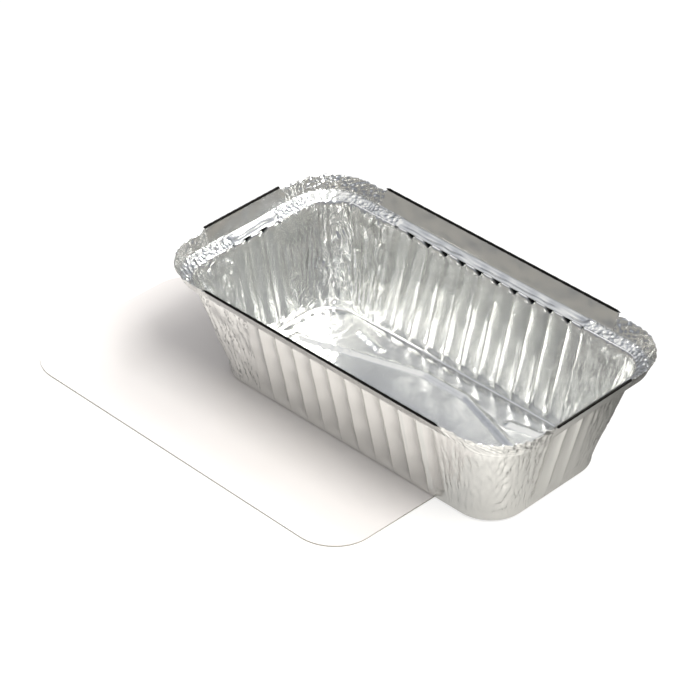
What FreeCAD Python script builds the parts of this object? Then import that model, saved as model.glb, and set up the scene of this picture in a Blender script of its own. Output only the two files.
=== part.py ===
import FreeCAD, Part
import math
import os

V = FreeCAD.Vector

# Foil food tray standing on its own card lid, millimetres.
# X runs along the tray, Y across it, Z up from the table under the lid.
# Heights inside the tray are measured from its underside, and half sizes
# of the well are taken on the narrow outward creases between its flutes.

# Sheet and card
foil = 0.15                # drawn aluminium sheet
card = 0.6                 # lid board

# Mouth and well
mouth_length = 185.2       # straight inner edge of the ledge
mouth_width = 95.0
mouth_corner = 15.0
mouth_steps = 6
well_depth = 48.0          # ledge's inner edge above the underside
wall_slope = 14.3          # degrees from vertical
base_corner = 16.0
crease_setback = 1.6       # creases stand this far behind the ledge edge
heel_height = 2.0          # bevel between base and wall
heel_inset = 1.3

# Ledge and flange
ledge_end = 5.8            # ledge width at the short ends
ledge_side = 4.8           # ledge width along the long sides
ledge_corner = 21.0
ledge_lip = 2.0            # level strip that covers the heads of the flutes
ledge_rise = 1.8           # the rest slopes up by this to the flange
ledge_margin = 0.8         # level strip that carries the pleats of the flange
flange_rise = 7.6          # top of the tall flanges above the ledge's outer edge
flange_lean_end = 22.0     # degrees from vertical
flange_lean_side = 29.5
rim_corner = 25.0
corner_drop = 1.7          # the flange is this much lower at the corners
tab_length = 135.6         # tall flange on a long side
tab_width = 47.0           # tall flange on a short side
curl = 0.9                 # rolled edge of the tall flanges

# Flutes of the straight walls
flute_pitch = 10.05
flute_depth = 1.35
crease = 0.4               # radius of the narrow creases between flutes
near_shift = 2.5           # the near side's flutes sit off centre
flute_steps = 5            # flats that follow one flute's arc
crease_steps = 1

# Gathers of the corners. The walls' flutes fill what these leave
side_pleats = 3            # on a long side, between its flutes and the bend
bend_pleats = 7
end_pleats = 1
pleat_room = 1.6           # least width of a pleat at the foot of the wall
pleat_depth = 0.65
pleat_steps = 3
rim_bend_pleats = 8
rim_pleat_width = 4.0      # between a tall flange and the bend
rim_pleat_foot = 0.25      # depth at the ledge
rim_pleat_top = 0.6        # depth at the rim
unevenness = 0.3

# Stiffening beads of the base
bead_width = 3.6
bead_height = 0.9
bead_apex_x = 12.0
bead_apex_y = 24.3
bead_tip_x = 71.0
bead_tip_y = 5.0
bead_bend = 5.0
short_bead = 16.0
short_bead_x = 46.0
short_bead_y = 25.0
short_bead_turn = 14.0     # degrees off the long side

# Card lid, lying half under the tray
lid_play = 1.5             # its gap to the flange when it is seated
lid_shift_x = -48.3
lid_shift_y = -42.5
lid_turn = -1.0


class Groove:
    """An outward crease. The lobe after it sinks in by rise, and 0 means a flat."""

    def __init__(self, foot, out, rise, steps):
        self.hub = foot - out * crease
        self.out = out
        self.rise = rise
        self.steps = steps


def unit(vector):
    turned = V(vector)
    return turned.normalize()


def mix(low, high, share):
    return low + (high - low) * share


def uneven(count, phase):
    """Uneven pleat edges, from 0 to 1."""
    if count == 0:
        return [0.0]
    widths = [1 + unevenness * math.sin(2.4 * k + phase) for k in range(count)]
    return [sum(widths[:k]) / sum(widths) for k in range(count + 1)]


def corner_feet(half, radius, ends, pleats, phase):
    """Groove feet and outward directions round one corner, from the long side on."""
    bend_x = half[0] - radius
    bend_y = half[1] - radius
    feet = []
    for share in uneven(pleats[0], phase)[:-1]:
        feet.append((V(mix(ends[0], bend_x, share), half[1], 0), V(0, 1, 0)))
    for share in uneven(pleats[1], phase):
        turn = math.pi / 2 * (1 - share)
        out = V(math.cos(turn), math.sin(turn), 0)
        feet.append((V(bend_x, bend_y, 0) + out * radius, out))
    for share in uneven(pleats[2], phase)[1:]:
        feet.append((V(half[0], mix(bend_y, ends[1], share), 0), V(1, 0, 0)))
    return feet


def corner_grooves(half, radius, ends, sides, pleats, depth, phase):
    """Grooves round one corner, counter-clockwise. The last one starts the wall."""
    feet = corner_feet(half, radius, ends, pleats, phase)
    if sides[0] * sides[1] > 0:
        feet.reverse()
    grooves = []
    for k, (point, out) in enumerate(feet):
        foot = V(point.x * sides[0], point.y * sides[1], 0)
        way = V(out.x * sides[0], out.y * sides[1], 0)
        rise = depth * (1 + unevenness * math.sin(1.7 * k + 2 * phase))
        grooves.append(Groove(foot, way, rise, pleat_steps))
    return grooves


def groove_ring(half, radius, runs, shift, pleats, pleat_rise, flutes, flute_rise):
    """Every groove of a level section. Flutes fill the walls between the corners."""
    corners = []
    for phase, sides in enumerate(((1, 1), (-1, 1), (-1, -1), (1, -1))):
        offset = shift * sides[0] if sides[1] < 0 else 0.0
        ends = (runs[0] + offset, runs[1])
        corners.append(corner_grooves(half, radius, ends, sides, pleats, pleat_rise, phase))
    ring = []
    for k, grooves in enumerate(corners):
        last = grooves[-1]
        goal = corners[(k + 1) % 4][0]
        count = flutes[k % 2]
        foot = last.hub + last.out * crease
        step = (goal.hub - last.hub) * (1.0 / count)
        ring += grooves[:-1]
        for j in range(count):
            ring.append(Groove(foot + step * j, last.out, flute_rise, flute_steps))
    return ring


def lobe_centre(groove, after):
    """Centre of the arc that sinks in between two grooves and meets both smoothly.

    The depth counts from the smooth path, and a narrow lobe is shallower.
    """
    chord = after.hub - groove.hub
    out = unit(V(chord.y, -chord.x, 0))
    half = chord.Length / 2
    rise = min(groove.rise, 0.6 * half) - half * math.tan(groove.out.getAngle(after.out) / 4)
    back = (half * half - rise * rise) / (2 * rise)
    return (groove.hub + after.hub) * 0.5 + out * back


def touch(groove, neighbour, inward):
    """Where a groove meets the lobe or flat beside it."""
    if neighbour is None:
        return groove.hub + groove.out * (crease - inward)
    return groove.hub + unit(neighbour - groove.hub) * (crease - inward)


def arc_points(centre, start, finish, steps):
    """Points along the shorter arc from start up to, but not at, finish."""
    first = start - centre
    last = finish - centre
    angle = first.getAngle(last)
    side = unit(last - first * (first.dot(last) / first.dot(first))) * first.Length
    points = []
    for k in range(steps):
        turn = angle * k / steps
        points.append(centre + first * math.cos(turn) + side * math.sin(turn))
    return points


def section(ring, z, inward):
    """Points of a level outline of creases and lobes, moved inward by a thickness."""
    lobes = []
    for k, groove in enumerate(ring):
        after = ring[(k + 1) % len(ring)]
        lobes.append(lobe_centre(groove, after) if groove.rise else None)
    points = []
    for k, groove in enumerate(ring):
        start = touch(groove, lobes[k - 1], inward)
        turn = touch(groove, lobes[k], inward)
        finish = touch(ring[(k + 1) % len(ring)], lobes[k], inward)
        points += arc_points(groove.hub, start, turn, crease_steps)
        if lobes[k] is None:
            points.append(turn)
        else:
            points += arc_points(lobes[k], turn, finish, groove.steps)
    return [point + V(0, 0, z) for point in points]


def flute_count(size, shift, pleats):
    """Whole flutes that fit on a wall's foot beside its pleats."""
    spread = well_depth * math.tan(math.radians(wall_slope)) + heel_inset
    straight = size / 2 + crease_setback - spread - base_corner
    spare = straight - shift - pleats * pleat_room
    return max(1, int(2 * spare / flute_pitch))


def well_section(z, inward):
    """Fluted section of the well at a height, outside or inside of the sheet."""
    heel = min(1.0, z / heel_height)
    spread = (well_depth - z) * math.tan(math.radians(wall_slope))
    inset = spread - crease_setback + heel_inset * (1 - heel)
    half = (mouth_length / 2 - inset, mouth_width / 2 - inset)
    radius = mix(base_corner, mouth_corner + crease_setback, z / well_depth)
    flutes = (flute_count(mouth_length, near_shift, side_pleats),
              flute_count(mouth_width, 0.0, end_pleats))
    runs = (flutes[0] * flute_pitch / 2, flutes[1] * flute_pitch / 2)
    pleats = (side_pleats, bend_pleats, end_pleats)
    ring = groove_ring(half, radius, runs, near_shift, pleats, pleat_depth, flutes, flute_depth)
    return section(ring, z, inward)


def flange_half(rise):
    """Half sizes of the flange at a height above the ledge."""
    half_x = mouth_length / 2 + ledge_end + rise * math.tan(math.radians(flange_lean_end))
    half_y = mouth_width / 2 + ledge_side + rise * math.tan(math.radians(flange_lean_side))
    return half_x, half_y


def rim_pleat_counts():
    """Pleats of the rim before, on and after a corner's bend."""
    half = flange_half(flange_rise)
    beside = [half[0] - rim_corner - tab_length / 2, half[1] - rim_corner - tab_width / 2]
    counts = [max(0, int(spare / rim_pleat_width)) for spare in beside]
    return counts[0], rim_bend_pleats, counts[1]


def flange_section(z, inward):
    """Section of the leaning flange, flat along the sides and gathered at corners."""
    rise = z - well_depth - ledge_rise
    share = rise / flange_rise
    radius = mix(ledge_corner, rim_corner, share)
    gather = mix(rim_pleat_foot, rim_pleat_top, share)
    runs = (tab_length / 2, tab_width / 2)
    ring = groove_ring(flange_half(rise), radius, runs, 0.0, rim_pleat_counts(),
                       gather, (1, 1), 0.0)
    return section(ring, z, inward)


def rounded(length, width, radius, z, height):
    """Block with rounded upright corners."""
    block = Part.makeBox(length, width, height, V(-length / 2, -width / 2, z))
    uprights = [e for e in block.Edges if abs(e.tangentAt(e.FirstParameter).z) > 0.5]
    return block.makeFillet(radius, uprights)


def bent_loop(points, radius, z):
    """Closed wire through the points, with every corner rounded."""
    bends = []
    for k, here in enumerate(points):
        back = unit(points[k - 1] - here)
        ahead = unit(points[(k + 1) % len(points)] - here)
        half = back.getAngle(ahead) / 2
        inner = unit(back + ahead)
        reach = radius / math.tan(half)
        middle = here + inner * (radius / math.sin(half) - radius)
        bends.append((here + back * reach, middle, here + ahead * reach))
    edges = []
    for k, bend in enumerate(bends):
        edges.append(Part.Arc(*bend).toShape())
        edges.append(Part.LineSegment(bend[2], bends[(k + 1) % len(bends)][0]).toShape())
    wire = Part.Wire(edges)
    wire.translate(V(0, 0, z))
    return wire


def long_bead(radius, z):
    """Round rod along the six-sided bead of the base."""
    corners = []
    for x, y in ((bead_apex_x, bead_apex_y), (-bead_apex_x, bead_apex_y),
                 (-bead_tip_x, bead_tip_y), (-bead_tip_x, -bead_tip_y),
                 (-bead_apex_x, -bead_apex_y), (bead_apex_x, -bead_apex_y),
                 (bead_tip_x, -bead_tip_y), (bead_tip_x, bead_tip_y)):
        corners.append(V(x, y, 0))
    path = bent_loop(corners, bead_bend, z)
    start = path.Edges[0].firstVertex().Point
    way = path.Edges[0].tangentAt(path.Edges[0].FirstParameter)
    ring = Part.Wire(Part.makeCircle(radius, start, way))
    skin = path.makePipeShell([ring], False, False, 2)
    return Part.Solid(Part.Shell(skin.Faces))


def short_beads(radius, z):
    """Four short rods with round ends, one in each corner of the base."""
    rods = []
    for side_x in (1, -1):
        for side_y in (1, -1):
            turn = math.radians(short_bead_turn)
            way = V(side_x * math.cos(turn), side_y * math.sin(turn), 0)
            middle = V(side_x * short_bead_x, side_y * short_bead_y, z)
            start = middle - way * (short_bead / 2)
            rods.append(Part.makeCylinder(radius, short_bead, start, way))
            rods.append(Part.makeSphere(radius, start))
            rods.append(Part.makeSphere(radius, start + way * short_bead))
    return rods


def bead_tops(radius):
    """What the beads raise above the base."""
    z = bead_height - radius
    reach = mouth_length
    above = Part.makeBox(2 * reach, 2 * reach, reach, V(-reach, -reach, foil / 2))
    rods = [long_bead(radius + foil, z)] + short_beads(radius + foil, z)
    return [rod.common(above) for rod in rods]


def corner_blocks(top):
    """Space above the lower flange between the tall straight parts."""
    low = well_depth + ledge_rise + flange_rise - corner_drop
    size = mouth_length
    blocks = []
    for x in (tab_length / 2, -tab_length / 2 - size):
        for y in (tab_width / 2, -tab_width / 2 - size):
            blocks.append(Part.makeBox(size, size, top, V(x, y, low)))
    return blocks


def curls(top):
    """Rolled edge along the top of each tall flange."""
    half_x, half_y = flange_half(top - well_depth - ledge_rise)
    rods = []
    for side in (1, -1):
        along_x = V(-tab_length / 2, side * (half_y - foil / 2), top)
        along_y = V(side * (half_x - foil / 2), -tab_width / 2, top)
        rods.append(Part.makeCylinder(curl / 2, tab_length, along_x, V(1, 0, 0)))
        rods.append(Part.makeCylinder(curl / 2, tab_width, along_y, V(0, 1, 0)))
    return rods


def ledge_outline(out_x, out_y, radius, z):
    """Rounded rectangle this far outside the mouth's edge."""
    points = []
    for side_x, side_y in ((1, 1), (-1, 1), (-1, -1), (1, -1)):
        bend = V(side_x * (mouth_length / 2 + out_x - radius),
                 side_y * (mouth_width / 2 + out_y - radius), z)
        start = V(side_x * radius, 0, 0)
        finish = V(0, side_y * radius, 0)
        if side_x * side_y < 0:
            start, finish = finish, start
        points += arc_points(bend, bend + start, bend + finish, mouth_steps)
        points.append(bend + finish)
    return points


def flat_face(*outlines):
    """Flat face of one outline, or the ring between two."""
    wires = [Part.makePolygon(points + points[:1]) for points in outlines]
    return Part.makeFace(wires, "Part::FaceMakerBullseye")


def skin(lower, upper):
    """Flat faces from one outline up to the next. A twisted one becomes two."""
    faces = []
    for k in range(len(lower)):
        a, b, c, d = lower[k - 1], lower[k], upper[k], upper[k - 1]
        normal = unit((c - a).cross(d - b))
        if abs((b - a).dot(normal)) < 2e-8:
            faces.append(flat_face([a, b, c, d]))
        else:
            faces.append(flat_face([a, b, c]))
            faces.append(flat_face([a, c, d]))
    return faces


def ledge_slope(z):
    """Foot and head outlines of the ledge's slope, for its top or its underside."""
    foot = ledge_outline(ledge_lip, ledge_lip, mouth_corner + ledge_lip, z)
    head = ledge_outline(ledge_end - ledge_margin, ledge_side - ledge_margin,
                         ledge_corner - ledge_margin, z + ledge_rise)
    return foot, head


def sheet(top):
    """The drawn sheet as one closed skin, outside first and then back down inside."""
    under = well_depth - foil
    outside = [well_section(z, 0.0) for z in (0.0, heel_height, under)]
    inside = [well_section(z, foil) for z in (foil, heel_height, under)]
    flange_outside = [flange_section(z, 0.0) for z in (under + ledge_rise, top)]
    flange_inside = [flange_section(z, foil) for z in (well_depth + ledge_rise, top)]
    mouth = [ledge_outline(0.0, 0.0, mouth_corner, z) for z in (under, well_depth)]
    slope_under = ledge_slope(under)
    slope_top = ledge_slope(well_depth)
    faces = [flat_face(outside[0])]
    faces += skin(outside[0], outside[1]) + skin(outside[1], outside[2])
    faces.append(flat_face(slope_under[0], outside[2]))
    faces += skin(*slope_under)
    faces.append(flat_face(flange_outside[0], slope_under[1]))
    faces += skin(*flange_outside)
    faces.append(flat_face(flange_outside[1], flange_inside[1]))
    faces += skin(*flange_inside)
    faces.append(flat_face(flange_inside[0], slope_top[1]))
    faces += skin(*slope_top)
    faces.append(flat_face(slope_top[0], mouth[1]))
    faces += skin(*mouth)
    faces.append(flat_face(inside[2], mouth[0]))
    faces += skin(inside[0], inside[1]) + skin(inside[1], inside[2])
    faces.append(flat_face(inside[0]))
    solid = Part.Solid(Part.Shell(faces))
    if solid.Volume < 0:
        solid.reverse()
    return solid


def foil_tray():
    """One drawn sheet: base with beads, fluted well, ledge and leaning flange."""
    top = well_depth + ledge_rise + flange_rise - curl / 2
    radius = (bead_width ** 2 / 4 + bead_height ** 2) / (2 * bead_height)
    beads = bead_tops(radius)
    tray = sheet(top).fuse(curls(top) + beads)
    hollows = [long_bead(radius, bead_height - radius)]
    hollows += short_beads(radius, bead_height - radius)
    tray = tray.cut(corner_blocks(top) + hollows)
    tray.translate(V(0, 0, card))
    return tray


def card_lid():
    """Flat board that fits inside the flange, here lying half under the tray."""
    length = mouth_length + 2 * (ledge_end - lid_play)
    width = mouth_width + 2 * (ledge_side - lid_play)
    lid = rounded(length, width, ledge_corner - lid_play, 0.0, card)
    lid.rotate(V(0, 0, 0), V(0, 0, 1), lid_turn)
    lid.translate(V(lid_shift_x, lid_shift_y, 0))
    return lid


def write(name, shape):
    """Save one node and say what it holds."""
    shape.exportStep("parts/" + name + ".step")
    print(name, len(shape.Solids), "solid", round(shape.Volume, 1), "mm3")


os.makedirs("parts", exist_ok=True)
write("foil_tray", foil_tray())
write("card_lid", card_lid())
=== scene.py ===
import math

import bpy
import numpy as np
from mathutils import Matrix, Vector


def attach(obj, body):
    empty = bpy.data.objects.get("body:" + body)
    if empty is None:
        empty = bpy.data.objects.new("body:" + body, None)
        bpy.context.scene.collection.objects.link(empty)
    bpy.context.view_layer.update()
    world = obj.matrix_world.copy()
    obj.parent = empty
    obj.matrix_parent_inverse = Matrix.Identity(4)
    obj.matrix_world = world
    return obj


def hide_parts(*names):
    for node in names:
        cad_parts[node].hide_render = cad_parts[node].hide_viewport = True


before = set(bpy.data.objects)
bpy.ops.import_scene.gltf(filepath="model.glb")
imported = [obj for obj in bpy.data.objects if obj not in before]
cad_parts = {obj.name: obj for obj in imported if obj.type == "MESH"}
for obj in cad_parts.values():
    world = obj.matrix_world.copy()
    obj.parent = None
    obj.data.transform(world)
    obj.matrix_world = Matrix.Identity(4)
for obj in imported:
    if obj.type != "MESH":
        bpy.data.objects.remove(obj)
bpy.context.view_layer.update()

mm = 0.001

# Everything about the tray is in millimetres and degrees, with z counted from its underside.
# Half sizes of the well are taken on the narrow outward creases between the flutes.
tray = {
    "lift": 0.6,                # stands on the card lid
    "sheet": 0.10,
    "mouthLength": 185.2,
    "mouthWidth": 95.0,
    "mouthCorner": 15.0,
    "depth": 48.0,
    "wallSlope": 13.5,
    "baseCorner": 17.0,
    "creaseSetback": 0.5,       # creases run this far behind the mouth's edge
    "heelRadius": 0.9,
    "ledgeEnd": 5.8,
    "ledgeSide": 4.8,
    "ledgeRise": 1.8,
    "flangeRise": 7.3,
    "leanEnd": 22.0,
    "leanSide": 29.5,
    "tabLength": 135.6,         # tall straight part of the flange on the long sides
    "tabWidth": 47.0,
}


def srgb(code):
    # hex colour to linear values, the sRGB curve for each channel
    values = [int(code[k:k + 2], 16) / 255 for k in (1, 3, 5)]
    return [v / 12.92 if v <= 0.04045 else ((v + 0.055) / 1.055) ** 2.4 for v in values] + [1.0]


def addNode(tree, kind, settings=None, **links):
    # one node with its settings, and links from other sockets or plain values;
    # i0, i1 and so on pick an input by its place, other names with _ for each space
    node = tree.nodes.new(kind)
    for key, value in (settings or {}).items():
        setattr(node, key, value)
    for key, value in links.items():
        byPlace = key[0] == "i" and key[1:].isdigit()
        socket = node.inputs[int(key[1:]) if byPlace else key.replace("_", " ")]
        if isinstance(value, bpy.types.NodeSocket):
            tree.links.new(value, socket)
        else:
            socket.default_value = value
    return node


def newMaterial(name):
    # a material with an empty node tree
    material = bpy.data.materials.new(name)
    material.use_nodes = True
    material.node_tree.nodes.clear()
    return material, material.node_tree


def perSize(size):
    # pattern scale for cells of this many millimetres, as a whole number of cells a metre
    return round(1 / (size * mm))


def gridMesh(name, points):
    # points[row, column] becomes a sheet of quads, closed round the columns
    rows, columns = points.shape[:2]
    here = np.arange(rows * columns).reshape(rows, columns)
    after = np.roll(here, -1, axis=1)
    quads = np.stack([here[:-1], after[:-1], after[1:], here[1:]], axis=-1).reshape(-1, 4)
    mesh = bpy.data.meshes.new(name)
    mesh.vertices.add(rows * columns)
    mesh.vertices.foreach_set("co", (points * mm).astype(np.float32).ravel())
    mesh.loops.add(quads.size)
    mesh.loops.foreach_set("vertex_index", quads.astype(np.int32).ravel())
    mesh.polygons.add(len(quads))
    mesh.polygons.foreach_set("loop_start", np.arange(0, quads.size, 4, dtype=np.int32))
    mesh.polygons.foreach_set("use_smooth", np.ones(len(quads), dtype=bool))
    mesh.update(calc_edges=True)
    mesh.validate()
    piece = bpy.data.objects.new(name, mesh)
    bpy.context.scene.collection.objects.link(piece)
    return piece


def pointValue(piece, name, values):
    # one number per vertex, read by the foil's material
    layer = piece.data.attributes.new(name, "FLOAT", "POINT")
    layer.data.foreach_set("value", values.astype(np.float32).ravel())


def solidify(piece, offset):
    # gives the sheet its thickness; offset 1 grows along the normals, -1 against them
    skin = piece.modifiers.new("sheet", "SOLIDIFY")
    skin.thickness = tray["sheet"] * mm
    skin.offset = offset
    skin.use_even_offset = False


def smoothStep(low, high, value):
    # 0 up to low, 1 from high on, 3tt - 2ttt between them
    t = np.clip((value - low) / (high - low), 0, 1)
    return t * t * (3 - 2 * t)


def ridges(u, v, loop, width, length, count, seed):
    # mean of |sin| waves across u, sharp on one side and round on the other, each with its
    # own width and slant; two slow waves along v bend their paths. u repeats after loop
    rng = np.random.default_rng(seed)
    total = np.zeros(np.broadcast(u, v).shape)
    around = 2 * math.pi / loop
    meanOfWave = 0.637
    for size in rng.uniform(0.6, 1.5, count):
        waves = max(1, round(loop / (2 * width * size)))
        slant = rng.normal(0, 1) * 2 * math.pi / length
        phase = rng.uniform(0, 2 * math.pi, 4)
        bend = 1.1 * np.sin(v * 2 * math.pi / (length * rng.uniform(0.7, 1.6))
                            + 14 * around * u + phase[1])
        bend = bend + 0.9 * np.sin(31 * around * u - v * 2 * math.pi / (2.3 * length) + phase[2])
        path = math.pi * waves * u / loop + slant * v + phase[0] + bend
        total += np.abs(np.sin(path)) - meanOfWave
    return total / math.sqrt(count)


def swells(u, v, loop, width, count, seed):
    # mean of plain sine waves of one length in mixed directions, for slow dents
    rng = np.random.default_rng(seed)
    total = np.zeros(np.broadcast(u, v).shape)
    for angle in rng.uniform(0, 2 * math.pi, count):
        turns = round(math.cos(angle) * loop / width)
        total += np.sin(2 * math.pi * turns * u / loop
                        + math.sin(angle) * 2 * math.pi * v / width + rng.uniform(0, 6.28))
    return total / math.sqrt(count / 2)


flutes = {
    "pitch": 10.05,
    "sideCount": 11,
    "endCount": 3,
    "nearShift": 2.0,           # the near and far rows sit this far right of the middle
    "farShift": 1.0,
    "depth": 1.4,
    "endDepth": 1.25,           # times as deep at the ends
    "unevenness": 0.10,
    "sharpness": 0.8,           # below 1 gives flatter flutes and narrower creases
    "softness": 0.07,           # share of the flute that rounds each crease
    "ridge": 0.45,              # narrow outward fold on each crease
    "ridgeWidth": 0.85,
    "heelTuck": 0.8,            # share of the heel's radius that the base stands in
    "foot": (1.0, 4.5),         # the flutes grow out of the heel between these heights
    "headGap": 0.08,            # the walls end this far under the ledge
    "dome": 3.6,                # height of a flute's rounded head
    "pocketWidth": 0.27,        # of the pitch, each side of a crease
    "pocketHeight": 3.2,
    "pocketDepth": 1.7,
    "pocketSteepness": 1.6,
    "pocketClimb": 0.36,        # slope of the ledge's underside
    "columns": 20,
    "crowding": 0.09,           # columns crowd towards the creases by this share
    "rows": (5, 29, 11),        # heel, wall, head
}

gathers = {
    "columns": (34, 70, 26),    # before the bend, on it, after it
    "inset": 1.0,               # the gathered sheet stands this far inside the creases
    "pleatWidth": 4.2,
    "pleatLength": 70.0,
    "pleatDepth": 0.66,
    "wrinkleWidth": 1.7,
    "wrinkleLength": 11.0,
    "wrinkleDepth": 0.72,
    "patchSize": 17.0,          # wrinkles come and go in patches
    "patchMean": 0.75,
    "patchSwing": 0.45,
    "patchRange": (0.1, 1.6),
    "farRight": 0.42,           # the two right corners are drawn smoother than the left ones
    "nearRight": 0.55,
    "foldPlace": 0.66,          # deep upright folds, on this share of the near right bend
    "foldSpread": 0.15,
    "foldDepth": 1.2,
    "foldWidth": 2.1,
    "foldLength": 19.0,
    "dentSize": 14.0,
    "dentDepth": 0.06,
    "fade": 3.0,                # the gathers die out this far into the fluted walls
    "catch": 8.0,               # and meet the mouth's edge over this height
    "facets": 0.55,             # how much of the material's wrinkles and facets they show
}

# Each column of the tray's grids belongs to one kind of stretch.
beforeBend, onBend, afterBend, sideWall, endWall = range(5)


def columnPlan():
    # one entry per column round the tray, counter-clockwise from the far right corner:
    # kind of stretch, share of it, side signs, place along the fluted wall, flute phase
    pitch = flutes["pitch"]
    runX = flutes["sideCount"] * pitch / 2
    runY = flutes["endCount"] * pitch / 2
    parts = []
    for sx, sy in ((1, 1), (-1, 1), (-1, -1), (1, -1)):
        onSide = sx * sy > 0    # a side wall follows this corner, otherwise an end wall
        shift = flutes["nearShift"] if sy < 0 else flutes["farShift"]
        bends = [(kind, np.arange(n) / n) for kind, n in enumerate(gathers["columns"])]
        if onSide:
            bends = [(kind, 1 - share) for kind, share in reversed(bends)]
        for kind, share in bends:
            still = 0 * share
            end = runX + sx * shift + still
            parts.append([kind + still, share, sx + still, sy + still, end, still])
        count = flutes["sideCount"] if onSide else flutes["endCount"]
        even = np.arange(count * flutes["columns"]) / flutes["columns"]
        phase = even - flutes["crowding"] * np.sin(2 * math.pi * even)
        still = 0 * phase
        if onSide:
            along = runX * sx + shift - phase * pitch * sx
            parts.append([sideWall + still, still, 1 + still, sy + still, along, phase])
        else:
            along = runY * sy - phase * pitch * sy
            parts.append([endWall + still, still, sx + still, 1 + still, along, phase])
    return np.concatenate([np.array(part) for part in parts], axis=1)


columnKind, columnShare, columnSx, columnSy, columnAlong, columnPhase = columnPlan()
onFlutes = columnKind >= sideWall


def outline(a, b, radius):
    # rounded rectangle of half sizes a and b: points and outward directions, rows by columns;
    # straight up to the bend, then a quarter circle, then straight again
    a, b, radius = (np.atleast_1d(value)[:, None] for value in (a, b, radius))
    turn = math.pi / 2 * (1 - columnShare)
    endX = np.abs(columnAlong)
    endY = flutes["endCount"] * flutes["pitch"] / 2
    kinds = [columnKind == kind for kind in range(5)]
    x = np.select(kinds, [
        columnSx * (endX + (a - radius - endX) * columnShare),
        columnSx * (a - radius + radius * np.cos(turn)),
        columnSx * a + 0 * columnShare,
        columnAlong + 0 * a,
        columnSx * a + 0 * columnShare])
    y = np.select(kinds, [
        columnSy * b + 0 * columnShare,
        columnSy * (b - radius + radius * np.sin(turn)),
        columnSy * (b - radius + (endY - b + radius) * columnShare),
        columnSy * b + 0 * columnShare,
        columnAlong + 0 * b])
    nx = np.select(kinds, [0 * turn, columnSx * np.cos(turn), columnSx, 0 * turn, columnSx])
    ny = np.select(kinds, [columnSy, columnSy * np.sin(turn), 0 * turn, columnSy, 0 * turn])
    return x, y, nx + 0 * x, ny + 0 * x


def wellHalf(z, inset):
    # half sizes and corner radius of the well at a height: those of the mouth, less the
    # distance below it times the tangent of the slope
    spread = (tray["depth"] - z) * math.tan(math.radians(tray["wallSlope"])) + inset
    a = tray["mouthLength"] / 2 + tray["creaseSetback"] - spread
    b = tray["mouthWidth"] / 2 + tray["creaseSetback"] - spread
    radius = tray["baseCorner"] + (tray["mouthCorner"] - tray["baseCorner"]) * z / tray["depth"]
    return a, b, radius


# Distance of each column round the tray at mid height, counted from the first.
midHeight = 25.0
midX, midY, _, _ = outline(*wellHalf(midHeight, 0.0))
stepLength = np.hypot(np.diff(midX[0], append=midX[0, :1]), np.diff(midY[0], append=midY[0, :1]))
loopLength = float(stepLength.sum())
around = np.concatenate([[0.0], np.cumsum(stepLength)[:-1]])

# How much each column is gathered: 1 on the corners, fading into the fluted walls.
fluteCount = np.where(columnKind == sideWall, flutes["sideCount"], flutes["endCount"])
intoWall = np.minimum(columnPhase, fluteCount - columnPhase) * flutes["pitch"]
gathered = np.where(onFlutes, 1 - smoothStep(0.0, gathers["fade"], intoWall), 1.0)

# Distance of each column from the nearest crease, as a share of the pitch.
creaseShare = np.abs(columnPhase - np.round(columnPhase))


def fluteLobe():
    # |sin| to a power with softened creases, from 0 on a crease to 1 at mid flute
    wave = np.abs(np.sin(math.pi * columnPhase)) ** flutes["sharpness"]
    soft = flutes["softness"]
    lobe = (np.sqrt(wave ** 2 + soft ** 2) - soft) / (math.sqrt(1 + soft ** 2) - soft)
    uneven = 1 + flutes["unevenness"] * np.sin(np.floor(columnPhase) * 2.3 + columnSy * 1.3)
    return np.select([columnKind == sideWall, columnKind == endWall],
                     [lobe * uneven, flutes["endDepth"] * lobe], 0.0)


def wallCrumple(v):
    # how far the sheet stands off its smooth path: broad pleats and patches of fine wrinkles
    # at the corners, deep folds where the near right corner turns into the end, faint dents
    u = around[None, :]
    pleat = ridges(u, v, loopLength, gathers["pleatWidth"], gathers["pleatLength"], 3, 11)
    fine = ridges(u, v, loopLength, gathers["wrinkleWidth"], gathers["wrinkleLength"], 4, 12)
    patch = gathers["patchSwing"] * swells(u, v, loopLength, gathers["patchSize"], 6, 13)
    patch = np.clip(gathers["patchMean"] + patch, *gathers["patchRange"])
    corner = gathers["pleatDepth"] * pleat + gathers["wrinkleDepth"] * fine * patch
    right = np.where(midY[0] > 0, gathers["farRight"], gathers["nearRight"])
    strength = np.where(midX[0] > 0, right, 1.0)
    dents = gathers["dentDepth"] * swells(u, v, loopLength, gathers["dentSize"], 10, 14)
    nearRightBend = (columnKind == onBend) & (columnSx > 0) & (columnSy < 0)
    place = np.exp(-((columnShare - gathers["foldPlace"]) / gathers["foldSpread"]) ** 2)
    place = place * nearRightBend
    fold = ridges(u, v, loopLength, gathers["foldWidth"], gathers["foldLength"], 2, 15)
    return gathered * strength * corner + dents + gathers["foldDepth"] * place * fold


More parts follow.
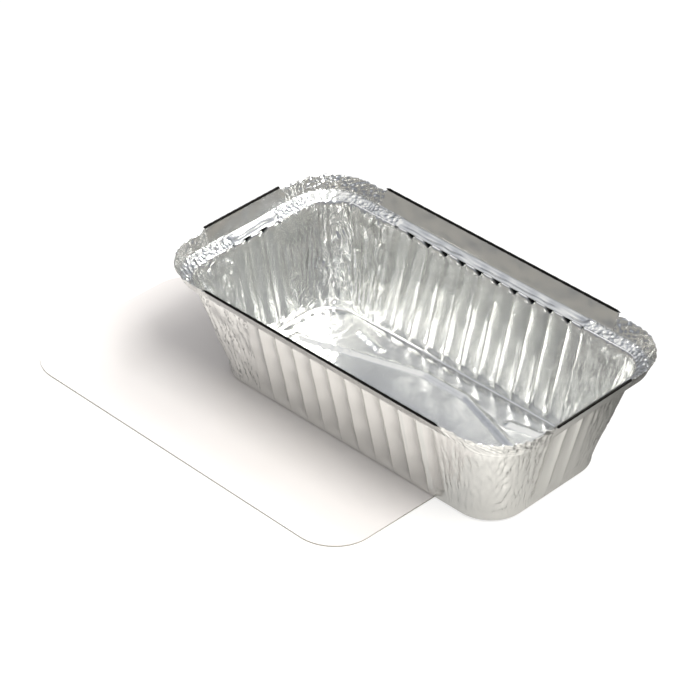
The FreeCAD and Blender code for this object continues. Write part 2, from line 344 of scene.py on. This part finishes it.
def trayWalls():
    # quarter-round heel, then the fluted wall, whose flutes close in rounded heads;
    # each point is the outline at its height, moved outwards by out
    depth, heel, dome = tray["depth"], tray["heelRadius"], flutes["dome"]
    heelRows, wallRows, headRows = flutes["rows"]
    t = np.linspace(0, 1, heelRows + 1)[:-1]
    heelZ = heel * (1 - np.cos(t * math.pi / 2))
    heelIn = heel * (1 - np.sin(t * math.pi / 2)) * flutes["heelTuck"]
    wallZ = np.linspace(heel, depth - dome, wallRows)
    headZ = depth - dome * (1 - np.linspace(0, 1, headRows + 1)[1:]) - flutes["headGap"]
    z = np.concatenate([heelZ, wallZ, headZ])
    inset = np.concatenate([heelIn, 0 * wallZ, 0 * headZ])
    x, y, nx, ny = outline(*wellHalf(z, inset))
    v = z[:, None]
    fluted = onFlutes * (1 - gathered)
    # 0 below a head and 1 at its top; a head's profile is a quarter ellipse
    head = np.clip((v - depth + dome) / dome, 0, 1)
    ellipse = np.sqrt(1 - head ** 2)
    least = tray["creaseSetback"] / flutes["depth"]
    foot = smoothStep(*flutes["foot"], v)
    lobe = flutes["depth"] * fluteLobe() * fluted * foot * (least + (1 - least) * ellipse)
    ridge = np.exp(-(creaseShare * flutes["pitch"] / flutes["ridgeWidth"]) ** 2)
    ridge = flutes["ridge"] * ridge * fluted * foot * (1 - head)
    # gathered corners run inside the creases and meet the mouth's edge at the top
    corner = gathered * (gathers["inset"] * foot * ellipse
                         + tray["creaseSetback"] * smoothStep(depth - gathers["catch"], depth, v))
    crumple = wallCrumple(v) * foot * (1 - head ** 3)
    # a pocket is a triangle above each crease, point down, pressed outwards under the ledge
    reach = 1 - creaseShare / flutes["pocketWidth"] - (depth - v) / flutes["pocketHeight"]
    pocket = np.clip(reach * flutes["pocketSteepness"], 0, 1) * fluted
    out = flutes["pocketDepth"] * pocket + crumple + ridge - lobe - corner
    # inside a pocket the sheet climbs to the underside of the sloping ledge
    climb = flutes["pocketClimb"] * flutes["pocketDepth"] * pocket * head
    points = np.stack([x + nx * out, y + ny * out, v + climb + tray["lift"]], axis=-1)
    piece = gridMesh("trayWalls", points)
    pointValue(piece, "gather", gathers["facets"] * gathered + 0 * x)
    # the pocket value marks where the foil's material paints near-black shade into the pockets
    pointValue(piece, "pocket", np.clip(pocket * 3, 0, 1))
    solidify(piece, 1.0)
    return piece, points


rim = {
    "rows": (22, 14),           # ledge, flange
    "ledgeCorner": 21.0,
    "rimCorner": 25.0,
    "flangeFoot": 0.15,         # the flange starts this far above the ledge
    "tabBlend": 0.25,           # its height changes over this far each side of a tab's end
    "cornerDrop": 1.3,          # corners stand lower than the tall parts, the near right
    "nearRightRise": 1.5,       # one this much higher than the other corners
    "scallopWidth": 1.6,        # uneven top of the corners
    "scallopLength": 30.0,
    "scallopDepth": 0.25,
    "fineWidth": 1.4,
    "fineLength": 8.0,
    "broadWidth": 3.4,
    "broadLength": 30.0,
    "swellSize": 9.0,
    "ledgeFine": 0.42,
    "ledgeSwell": 0.16,
    "streak": 0.16,             # faint rolls along the straight ledge
    "grooveDepth": 0.45,        # sharp groove at the flange's foot
    "groovePlace": 0.93,
    "grooveWidth": 0.07,
    "cornerFine": 0.60,
    "nearRightFine": 0.5,       # added on the near right corner
    "cornerBroad": 0.36,
    "cornerSink": 0.6,          # crumpled corners lean in by this much
    "flangeSwell": 0.04,
    "sheetAtMouth": 60.0,       # length of sheet from the base, which the patterns run along
    "sheetOnLedge": 5.0,
    "sheetAtFlange": 66.0,
}


def tabShare(x, y):
    # 1 on the tall straight flanges and 0 at the corners
    blend = rim["tabBlend"]
    onSide = smoothStep(blend, -blend, np.abs(x) - tray["tabLength"] / 2)
    onEnd = smoothStep(blend, -blend, np.abs(y) - tray["tabWidth"] / 2)
    kinds = [np.isin(columnKind, (beforeBend, sideWall)), np.isin(columnKind, (afterBend, endWall))]
    return np.select(kinds, [onSide, onEnd], 0.0)


def trayRim():
    # ledge from the mouth outwards and slightly up, then the leaning flange: the outline
    # grows by the ledge's width and the flange's lean, and both are moved by crumples
    ledgeRows, flangeRows = rim["rows"]
    ledge = np.linspace(0, 1, ledgeRows)
    rise = np.concatenate([[rim["flangeFoot"]], np.linspace(0.5, tray["flangeRise"], flangeRows)])
    share = rise / tray["flangeRise"]
    onlyLedge = np.concatenate([ledge, 0 * rise])[:, None]
    leanX = rise * math.tan(math.radians(tray["leanEnd"]))
    leanY = rise * math.tan(math.radians(tray["leanSide"]))
    outX = np.concatenate([ledge * tray["ledgeEnd"], tray["ledgeEnd"] + leanX])
    outY = np.concatenate([ledge * tray["ledgeSide"], tray["ledgeSide"] + leanY])
    radius = np.concatenate([
        tray["mouthCorner"] + (rim["ledgeCorner"] - tray["mouthCorner"]) * ledge,
        rim["ledgeCorner"] + (rim["rimCorner"] - rim["ledgeCorner"]) * share])
    x, y, nx, ny = outline(tray["mouthLength"] / 2 + outX, tray["mouthWidth"] / 2 + outY, radius)
    u = around[None, :]
    v = np.concatenate([rim["sheetAtMouth"] + rim["sheetOnLedge"] * ledge,
                        rim["sheetAtFlange"] + rise])[:, None]
    onLedge = np.concatenate([np.ones(ledgeRows), 0 * rise])[:, None]
    corner = 1 - tabShare(x[ledgeRows - 1:ledgeRows], y[ledgeRows - 1:ledgeRows])
    nearRight = ((columnKind <= afterBend) & (columnSx > 0) & (columnSy < 0)) * 1.0
    scallop = ridges(u, v[-1:], loopLength, rim["scallopWidth"], rim["scallopLength"], 3, 31)
    drop = rim["cornerDrop"] - rim["nearRightRise"] * nearRight + rim["scallopDepth"] * scallop
    top = tray["flangeRise"] - corner * drop
    height = np.concatenate([0 * ledge, share])[:, None] * top
    height = height + tray["ledgeRise"] * np.concatenate([ledge, 1 + 0 * rise])[:, None]
    fine = ridges(u, v, loopLength, rim["fineWidth"], rim["fineLength"], 3, 21)
    broad = ridges(u, v, loopLength, rim["broadWidth"], rim["broadLength"], 3, 22)
    faint = swells(u, v, loopLength, rim["swellSize"], 10, 23)
    # on the ledge everything moves up and down
    crumple = rim["ledgeFine"] * gathered * fine + rim["ledgeSwell"] * faint
    crumple = np.sin(math.pi * onlyLedge) * crumple
    streak = rim["streak"] * np.sin(3 * math.pi * onlyLedge) * (1 - gathered)
    groove = rim["grooveDepth"] * np.exp(-((onlyLedge - rim["groovePlace"]) / rim["grooveWidth"]) ** 2)
    # on the flange everything moves in and out, more towards its top
    upright = np.concatenate([0 * ledge, np.sqrt(share)])[:, None]
    crinkle = (rim["cornerFine"] + rim["nearRightFine"] * nearRight) * fine
    crinkle = crinkle + rim["cornerBroad"] * broad
    out = upright * (corner * (crinkle - rim["cornerSink"]) + rim["flangeSwell"] * faint)
    z = tray["depth"] + height + onLedge * (crumple + streak - groove) + tray["lift"]
    piece = gridMesh("trayRim", np.stack([x + nx * out, y + ny * out, z], axis=-1))
    pointValue(piece, "gather", np.maximum(gathered * onLedge, corner * (1 - onLedge)) + 0 * x)
    pointValue(piece, "pocket", 0 * x)
    solidify(piece, -1.0)
    return piece


base = {
    "rows": 40,
    "blend": 0.12,              # share of the way in over which the pattern starts
    "clearance": 0.12,          # the base stands just clear of the lid everywhere
    "crown": 0.30,
    "slowDent": (0.05, 26.0),   # height and size
    "fineDent": (0.015, 9.0),
    "crumpleDepth": 0.26,
    "crumpleWidth": 5.0,
    "crumpleLength": 30.0,
    "leftFrom": -25.0,          # the left end is crumpled, growing over this stretch
    "leftTo": -60.0,
    "patternLoop": 400.0,       # the patterns repeat after this, more than the base's length
    "facets": 0.25,
}

beads = {
    "apex": (12.0, 24.3),
    "tip": (71.0, 5.0),
    "width": 4.2,
    "height": 1.3,
    "core": 0.36,               # share of the width where the bead falls to a third
    "squareness": 2.4,
    "short": (46.0, 25.0),
    "shortLength": 16.0,
    "shortTurn": 14.0,
}


def segmentDistance(x, y, start, finish):
    # distance from points to a straight segment
    ax, ay = start
    dx, dy = finish[0] - ax, finish[1] - ay
    t = np.clip(((x - ax) * dx + (y - ay) * dy) / (dx * dx + dy * dy), 0, 1)
    return np.hypot(x - ax - t * dx, y - ay - t * dy)


def beadHeight(x, y):
    # long bead round a six-sided field and one short bead in each quarter: the height is
    # a bell curve of the distance from the nearest centre line, mirrored in both axes
    px, py = np.abs(x), np.abs(y)
    apex, tip = beads["apex"], beads["tip"]
    turn = math.radians(beads["shortTurn"])
    middle = np.array(beads["short"])
    half = beads["shortLength"] / 2 * np.array([math.cos(turn), math.sin(turn)])
    lines = ((0, apex[1]), apex), (apex, tip), (tip, (tip[0], 0)), (middle - half, middle + half)
    near = np.min([segmentDistance(px, py, start, finish) for start, finish in lines], axis=0)
    return beads["height"] * np.exp(-(near / (beads["core"] * beads["width"])) ** beads["squareness"])


def trayFloor(edge):
    # rows run from the heel's outline to a spine along the middle of the floor; the height is
    # the beads, a low crown, dents and the left end's crumples, growing from 0 at the heel
    s = np.linspace(0, 1, base["rows"])[:, None]
    reach = np.max(np.abs(edge[:, 0])) - np.max(np.abs(edge[:, 1]))
    spineX = np.clip(edge[:, 0], -reach, reach)
    x = edge[:, 0] + (spineX - edge[:, 0]) * s
    y = edge[:, 1] * (1 - s)
    loop = base["patternLoop"]
    u = x + loop / 2
    dents = sum(height * swells(u, y, loop, size, 9, seed)
                for (height, size), seed in ((base["slowDent"], 41), (base["fineDent"], 42)))
    leftEnd = smoothStep(base["leftFrom"], base["leftTo"], x)
    crumple = leftEnd * ridges(u, y, loop, base["crumpleWidth"], base["crumpleLength"], 6, 43)
    shape = beadHeight(x, y) + base["crown"] + dents + base["crumpleDepth"] * crumple
    z = np.maximum(shape * smoothStep(0.0, base["blend"], s), 0.0) + base["clearance"]
    piece = gridMesh("trayFloor", np.stack([x, y, z + tray["lift"]], axis=-1))
    pointValue(piece, "gather", base["facets"] * leftEnd + 0 * x)
    pointValue(piece, "pocket", 0 * x)
    solidify(piece, -1.0)
    return piece


curl = {
    "thickness": 1.25,
    "tip": 0.3,                 # the roll closes over this length at each end
    "unevenness": 0.08,
    "sink": 0.1,
    "sides": 12,
    "rows": 60,
}


def rimCurls():
    # the rolled top edge of the four tall flanges: a circle carried along each flange,
    # closed to a point at both ends
    rise = tray["flangeRise"]
    halfX = tray["mouthLength"] / 2 + tray["ledgeEnd"] + rise * math.tan(math.radians(tray["leanEnd"]))
    halfY = tray["mouthWidth"] / 2 + tray["ledgeSide"] + rise * math.tan(math.radians(tray["leanSide"]))
    z = tray["depth"] + tray["ledgeRise"] + rise + tray["lift"] - curl["sink"]
    turn = np.linspace(0, 2 * math.pi, curl["sides"] + 1)[:-1]
    side, end = (halfY, tray["tabLength"]), (halfX, tray["tabWidth"])
    pieces = []
    for quarter, (reach, length) in enumerate((side, end, side, end)):
        along = np.linspace(-length / 2, length / 2, curl["rows"])[:, None]
        ends = np.sqrt(np.clip((length / 2 - np.abs(along)) / curl["tip"], 0, 1))
        uneven = 1 + curl["unevenness"] * np.sin(along * 1.7 + 90 * quarter)
        radius = curl["thickness"] / 2 * ends * uneven
        px = along + 0 * turn
        py = -(reach + radius * np.cos(turn))
        pz = z + radius * np.sin(turn)
        c, s = ((1, 0), (0, 1), (-1, 0), (0, -1))[quarter]
        tube = np.stack([c * px - s * py, s * px + c * py, pz], axis=-1)
        pieces.append(gridMesh("rimCurl" + str(quarter + 1), tube))
    return pieces


foil = {
    "tint": "#e9e9e6",
    # near-black painted shade in the pockets under the ledge, seen from inside
    "pocketPaintedShade": "#1c1c1d",
    "roughness": 0.22,
    "roughnessSpread": (0.8, 1.25),
    "grainSize": 0.5263,        # rolling grain, as coarse as it shows
    "grainBump": (0.22, 0.0001),    # strength, and height in metres
    "dentSize": 7.143,
    "dentBump": (0.30, 0.0006),
    "wrinkleSize": 3.03,
    "wrinkleBump": (0.7, 0.0005),
    "facetSize": 1.923,
    "facetBump": (0.6, 0.0007),
    "squash": 0.22,             # heights count this much, so wrinkles stand 4.5 times as tall
}


def foilMaterial():
    # Container foil: bright rolled aluminium straight off the mill rolls, so it mirrors
    # softly, with a fine rolling grain and small dents. Where the press gathers the sheet
    # it breaks into upright wrinkles and small facets. The pockets under the ledge get
    # painted shade, a near-black colour seen from inside.
    material, tree = newMaterial("rolledContainerFoil")
    place = addNode(tree, "ShaderNodeTexCoord").outputs["Object"]
    gather = addNode(tree, "ShaderNodeAttribute", {"attribute_name": "gather"}).outputs["Fac"]
    pocket = addNode(tree, "ShaderNodeAttribute", {"attribute_name": "pocket"}).outputs["Fac"]
    upright = addNode(tree, "ShaderNodeMapping", {}, Vector=place, Scale=(1, 1, foil["squash"])).outputs[0]
    grain = addNode(tree, "ShaderNodeTexNoise", {}, Vector=place, Scale=perSize(foil["grainSize"]),
                    Detail=2.0).outputs[0]
    dent = addNode(tree, "ShaderNodeTexNoise", {}, Vector=place, Scale=perSize(foil["dentSize"]),
                   Detail=1.0).outputs[0]
    wrinkle = addNode(tree, "ShaderNodeTexNoise", {"noise_type": "RIDGED_MULTIFRACTAL"}, Vector=upright,
                      Scale=perSize(foil["wrinkleSize"]), Detail=2.0, Distortion=0.4).outputs[0]
    facet = addNode(tree, "ShaderNodeTexVoronoi", {}, Vector=upright, Scale=perSize(foil["facetSize"]),
                    Randomness=1.0).outputs["Distance"]
    wrinkled = addNode(tree, "ShaderNodeMath", {"operation": "MULTIPLY"}, i0=wrinkle, i1=gather).outputs[0]
    faceted = addNode(tree, "ShaderNodeMath", {"operation": "MULTIPLY"}, i0=facet, i1=gather).outputs[0]
    layers = ((grain, "grainBump"), (dent, "dentBump"), (wrinkled, "wrinkleBump"), (faceted, "facetBump"))
    bump = None
    for height, layer in layers:
        strength, distance = foil[layer]
        below = {"Normal": bump.outputs[0]} if bump else {}
        bump = addNode(tree, "ShaderNodeBump", {}, Strength=strength, Distance=distance, Height=height,
                       **below)
    least, most = (foil["roughness"] * share for share in foil["roughnessSpread"])
    rough = addNode(tree, "ShaderNodeMapRange", {}, Value=dent, i3=least, i4=most).outputs[0]
    # the pockets get painted shade, a near-black colour, from inside only, where the surface
    # faces the tray's middle; x counts less, so that the end of a long side doesn't look turned away
    normal = addNode(tree, "ShaderNodeNewGeometry").outputs["True Normal"]
    middle = addNode(tree, "ShaderNodeMapping", {}, Vector=place, Scale=(0.3, 1, 0)).outputs[0]
    facing = addNode(tree, "ShaderNodeVectorMath", {"operation": "DOT_PRODUCT"}, i0=middle, i1=normal)
    inner = addNode(tree, "ShaderNodeMath", {"operation": "LESS_THAN"}, i0=facing.outputs["Value"], i1=0.0)
    shade = addNode(tree, "ShaderNodeMath", {"operation": "MULTIPLY"}, i0=pocket, i1=inner.outputs[0])
    # foil colour, with the near-black painted shade mixed in at the pockets
    colour = addNode(tree, "ShaderNodeMix", {"data_type": "RGBA"}, Factor=shade.outputs[0],
                     i6=srgb(foil["tint"]), i7=srgb(foil["pocketPaintedShade"]))
    shader = addNode(tree, "ShaderNodeBsdfPrincipled", {}, Base_Color=colour.outputs[2], Metallic=1.0,
                     Roughness=rough, Normal=bump.outputs[0])
    addNode(tree, "ShaderNodeOutputMaterial", {}, Surface=shader.outputs[0])
    return material


foilEdge = {
    # near-black tones of the rolled edge: painted shade, with a faint grain between them
    "dark": "#161514",
    "light": "#302f2d",
    "grainSize": 2.381,
    "roughness": 0.45,
}


def edgeMaterial():
    # Rolled foil edge: the sheet is folded over tightly; its near-black colour is painted shade, mottled
    # by a faint grain.
    material, tree = newMaterial("rolledFoilEdgePaintedShade")
    place = addNode(tree, "ShaderNodeTexCoord").outputs["Object"]
    grain = addNode(tree, "ShaderNodeTexNoise", {}, Vector=place, Scale=perSize(foilEdge["grainSize"]),
                    Detail=2.0).outputs[0]
    tone = addNode(tree, "ShaderNodeMix", {"data_type": "RGBA"}, Factor=grain,
                   i6=srgb(foilEdge["dark"]), i7=srgb(foilEdge["light"]))
    shader = addNode(tree, "ShaderNodeBsdfPrincipled", {}, Base_Color=tone.outputs[2], Metallic=1.0,
                     Roughness=foilEdge["roughness"])
    addNode(tree, "ShaderNodeOutputMaterial", {}, Surface=shader.outputs[0])
    return material


board = {
    "cut": "#b9b5ab",
    "face": ("#f3ede7", "#f7f2ee"),
    "cloudSize": 45.45,
    "fibreSize": 1.429,         # about as long as a pulp fibre
    "fibreBump": (0.12, 0.0001),
    "roughness": 0.48,
}


def boardMaterial():
    # Coated carton board: smooth clay coat over pulp, warm white, with a greyer cut edge.
    material, tree = newMaterial("coatedCartonBoard")
    place = addNode(tree, "ShaderNodeTexCoord").outputs["Object"]
    normal = addNode(tree, "ShaderNodeNewGeometry").outputs["True Normal"]
    lean = addNode(tree, "ShaderNodeSeparateXYZ", {}, Vector=normal).outputs["Z"]
    level = addNode(tree, "ShaderNodeMath", {"operation": "ABSOLUTE"}, i0=lean).outputs[0]
    fibre = addNode(tree, "ShaderNodeTexNoise", {}, Vector=place, Scale=perSize(board["fibreSize"]),
                    Detail=4.0).outputs[0]
    cloud = addNode(tree, "ShaderNodeTexNoise", {}, Vector=place, Scale=perSize(board["cloudSize"]),
                    Detail=3.0).outputs[0]
    face = addNode(tree, "ShaderNodeMix", {"data_type": "RGBA"}, Factor=cloud,
                   i6=srgb(board["face"][0]), i7=srgb(board["face"][1]))
    tone = addNode(tree, "ShaderNodeMix", {"data_type": "RGBA"}, Factor=level,
                   i6=srgb(board["cut"]), i7=face.outputs[2])
    strength, distance = board["fibreBump"]
    bump = addNode(tree, "ShaderNodeBump", {}, Strength=strength, Distance=distance,
                   Height=fibre).outputs[0]
    shader = addNode(tree, "ShaderNodeBsdfPrincipled", {}, Base_Color=tone.outputs[2],
                     Roughness=board["roughness"], Normal=bump)
    addNode(tree, "ShaderNodeOutputMaterial", {}, Surface=shader.outputs[0])
    return material


view = {
    "lens": 172.25,
    "target": (-24.36, -11.06, 25.6),
    "distance": 1435.58,
    "elevation": 35.67,
    "turn": 43.02,
    "roll": 1.31,
}


def addCamera():
    # looks at the target from its elevation and turn, rolled about its own axis
    elevation, turn, roll = (math.radians(view[key]) for key in ("elevation", "turn", "roll"))
    back = Vector((math.sin(turn) * math.cos(elevation), -math.cos(turn) * math.cos(elevation),
                   math.sin(elevation)))
    right = Vector((math.cos(turn), math.sin(turn), 0))
    up = back.cross(right)
    turnedRight = math.cos(roll) * right + math.sin(roll) * up
    turnedUp = -math.sin(roll) * right + math.cos(roll) * up
    place = (Vector(view["target"]) + back * view["distance"]) * mm
    data = bpy.data.cameras.new("camera")
    data.lens = view["lens"]
    data.sensor_width = 36.0
    data.clip_start = 0.05
    camera = bpy.data.objects.new("camera", data)
    basis = Matrix((turnedRight, turnedUp, back)).transposed().to_4x4()
    camera.matrix_world = Matrix.Translation(place) @ basis
    bpy.context.scene.collection.objects.link(camera)
    bpy.context.scene.camera = camera


# Places and sizes in metres, power in watts.
softboxes = {
    "key": {"place": (0.66, -0.14, 1.10), "aim": (0, 0, 0), "size": (0.6, 0.6), "power": 12.5},
    "top": {"place": (0.30, 0.52, 1.00), "aim": (0, 0, 0.03), "size": (0.5, 0.6), "power": 6.0},
}

# Tones of the room by height of the direction, from 0 level to 1 overhead: white below the
# horizon, a grey room above it with a darker band, lighter overhead.
belowHorizon = "#ffffff"
roomTones = (
    (0.02, "#a39d93"), (0.26, "#b4b2ad"), (0.36, "#6f7176"), (0.47, "#7d8188"),
    (0.60, "#989ca5"), (0.80, "#cdd0d8"), (0.93, "#ffffff"),
)


def addSoftbox(name, place, aim, size, power):
    # rectangular lamp turned to face its aim
    data = bpy.data.lights.new(name, "AREA")
    data.shape = "RECTANGLE"
    data.size, data.size_y = size
    data.energy = power
    lamp = bpy.data.objects.new(name, data)
    lamp.location = place
    lamp.rotation_euler = (Vector(aim) - Vector(place)).to_track_quat("-Z", "Y").to_euler()
    bpy.context.scene.collection.objects.link(lamp)


def addRoom():
    # the world's colour follows the height of the direction
    world = bpy.data.worlds.new("studio")
    bpy.context.scene.world = world
    world.use_nodes = True
    tree = world.node_tree
    tree.nodes.clear()
    way = addNode(tree, "ShaderNodeTexCoord").outputs["Generated"]
    height = addNode(tree, "ShaderNodeSeparateXYZ", {}, Vector=way).outputs["Z"]
    ramp = addNode(tree, "ShaderNodeValToRGB", {}, Fac=height)
    stops = ramp.color_ramp.elements
    stops.remove(stops[1])
    stops[0].color = srgb(belowHorizon)
    for place, code in roomTones:
        stops.new(place).color = srgb(code)
    sky = addNode(tree, "ShaderNodeBackground", {}, Color=ramp.outputs[0], Strength=1.0)
    addNode(tree, "ShaderNodeOutputWorld", {}, Surface=sky.outputs[0])


sweep = {
    "half": 4.0,                # metres
    "drop": 0.2,                # millimetres under the lid
    # behind: painted shade, the floor is greyer behind the tray
    "behind": "#676663",
    "front": "#cdc9c2",
    "turn": (0.06, -0.10),      # the tone turns from behind to front between these, in metres
    "glow": (0.9, 0.55),        # seen by the camera, behind and in front
    # mirrored: painted light, a glow that only the foil's reflections see, in front
    "mirrored": 0.48,           # seen in the foil, in front
}


def addSweep():
    # pale paper sweep: matt, with painted shade behind the tray, where it is greyer, and a
    # white glow for the camera; in front, painted light for mirror rays: a glow the foil reflects
    half = sweep["half"]
    mesh = bpy.data.meshes.new("floor")
    corners = [(x * half, y * half, 0) for x, y in ((-1, -1), (1, -1), (1, 1), (-1, 1))]
    mesh.from_pydata(corners, [], [(0, 1, 2, 3)])
    floor = bpy.data.objects.new("floor", mesh)
    floor.location.z = -sweep["drop"] * mm
    bpy.context.scene.collection.objects.link(floor)
    material, tree = newMaterial("paleSweep")
    rays = addNode(tree, "ShaderNodeLightPath")
    place = addNode(tree, "ShaderNodeTexCoord").outputs["Object"]
    depth = addNode(tree, "ShaderNodeSeparateXYZ", {}, Vector=place).outputs["Y"]
    front = addNode(tree, "ShaderNodeMapRange", {}, Value=depth, i1=sweep["turn"][0],
                    i2=sweep["turn"][1]).outputs[0]
    # painted shade: greyer behind the tray, paler in front
    tone = addNode(tree, "ShaderNodeMix", {"data_type": "RGBA"}, Factor=front,
                   i6=srgb(sweep["behind"]), i7=srgb(sweep["front"]))
    # painted light: a glow for mirror rays, in front of the tray
    glossy = addNode(tree, "ShaderNodeMath", {"operation": "MULTIPLY"}, i0=rays.outputs["Is Glossy Ray"],
                     i1=sweep["mirrored"]).outputs[0]
    mirrored = addNode(tree, "ShaderNodeMath", {"operation": "MULTIPLY"}, i0=glossy, i1=front).outputs[0]
    seen = addNode(tree, "ShaderNodeMapRange", {}, Value=front, i3=sweep["glow"][0],
                   i4=sweep["glow"][1]).outputs[0]
    glow = addNode(tree, "ShaderNodeMath", {"operation": "MULTIPLY_ADD"}, i0=rays.outputs["Is Camera Ray"],
                   i1=seen, i2=mirrored).outputs[0]
    matt = addNode(tree, "ShaderNodeBsdfDiffuse", {}, Color=tone.outputs[2])
    lit = addNode(tree, "ShaderNodeEmission", {}, Color=(1, 1, 1, 1), Strength=glow)
    both = addNode(tree, "ShaderNodeAddShader", {}, i0=matt.outputs[0], i1=lit.outputs[0])
    addNode(tree, "ShaderNodeOutputMaterial", {}, Surface=both.outputs[0])
    mesh.materials.append(material)


wallPiece, wallPoints = trayWalls()
print("walls fluted")
rimPiece = trayRim()
print("ledge and flange made")
floorPiece = trayFloor(wallPoints[0, :, :2])
print("base and beads made")
curlPieces = rimCurls()
print("edges rolled")

containerFoil = foilMaterial()
rolledEdge = edgeMaterial()
for piece in [wallPiece, rimPiece, floorPiece] + curlPieces:
    piece.data.materials.append(rolledEdge if piece in curlPieces else containerFoil)
    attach(piece, "root")
    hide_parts("foil_tray")
print("foil dressed")

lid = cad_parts["card_lid"]
lid.data.materials.clear()
lid.data.materials.append(boardMaterial())
print("card lid dressed")

addCamera()
addRoom()
for name, softbox in softboxes.items():
    addSoftbox(name, **softbox)
addSweep()
scene = bpy.context.scene
scene.view_settings.view_transform = "Standard"
print("studio ready")
